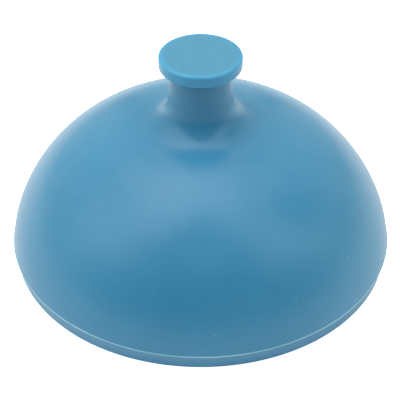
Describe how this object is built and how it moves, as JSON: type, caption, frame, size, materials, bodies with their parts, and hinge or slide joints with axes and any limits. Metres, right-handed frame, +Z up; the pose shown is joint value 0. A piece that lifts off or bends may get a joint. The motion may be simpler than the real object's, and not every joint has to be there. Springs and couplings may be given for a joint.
{
  "type": "pipette filler bulb",
  "caption": "Dome-shaped silicone suction bulb with a short neck and a disc-headed release knob, closed underneath by a plate that holds the valves and a bayonet pipette socket.",
  "frame": {"origin": "on the bulb's axis, in the plane of the foot that it stands on", "axes": "+Z up along the bulb's axis of revolution, from the foot to the knob; +Y towards the side of the base plate that holds the exhaust valve"},
  "size_m": [0.0724, 0.0724, 0.0423],
  "materials": {
    "bulb_silicone": "satin moulded silicone, teal blue, faintly dusty",
    "knob_plastic": "satin moulded plastic, teal blue",
    "white_plastic": "satin polypropylene, off-white",
    "grey_plastic": "satin polypropylene, light grey",
    "clear_silicone": "translucent natural silicone",
    "red_silicone": "matte iron-oxide red silicone",
    "spring_steel": "drawn stainless wire",
    "filter_membrane": "matte porous membrane, white"
  },
  "bodies": {
    "base": {"dome_bulb": "bulb_silicone", "base_plate": "white_plastic", "valve_gasket": "red_silicone", "valve_body": "grey_plastic", "flap_cage": "white_plastic", "filter_frame": "white_plastic", "filter_membrane": "filter_membrane", "poppet_spring": "spring_steel"},
    "knob": {"knob_pin": "knob_plastic"},
    "poppet": {"release_poppet": "grey_plastic", "poppet_seal": "red_silicone", "poppet_cap": "white_plastic"},
    "inlet": {"inlet_flap": "red_silicone"},
    "exhaust": {"exhaust_valve": "red_silicone"},
    "collar": {"adapter_collar": "grey_plastic", "pipette_grip": "clear_silicone"}
  },
  "joints": [
    {"name": "knob_press", "type": "slide", "parent": "base", "child": "knob", "axis": [0, 0, -1], "range_m": [0, 0.0025], "stiffness_N_per_m": 1500, "deforming": ["dome_bulb"]},
    {"name": "poppet_open", "type": "slide", "parent": "base", "child": "poppet", "axis": [0, 0, -1], "range_m": [0, 0.0025], "stiffness_N_per_m": 300, "deforming": ["poppet_spring"]},
    {"name": "inlet_lift", "type": "slide", "parent": "base", "child": "inlet", "axis": [0, 0, 1], "range_m": [0, 0.0006]},
    {"name": "exhaust_lift", "type": "slide", "parent": "base", "child": "exhaust", "axis": [0, 0, -1], "range_m": [0, 0.0006], "stiffness_N_per_m": 200},
    {"name": "collar_turn", "type": "hinge", "parent": "base", "child": "collar", "pos_m": [0, 0, 0.006], "axis": [0, 0, 1], "range_deg": [-50, 0]}
  ],
  "couplings": [
    {"joint": "poppet_open", "follows": "knob_press", "ratio": 1}
  ]
}
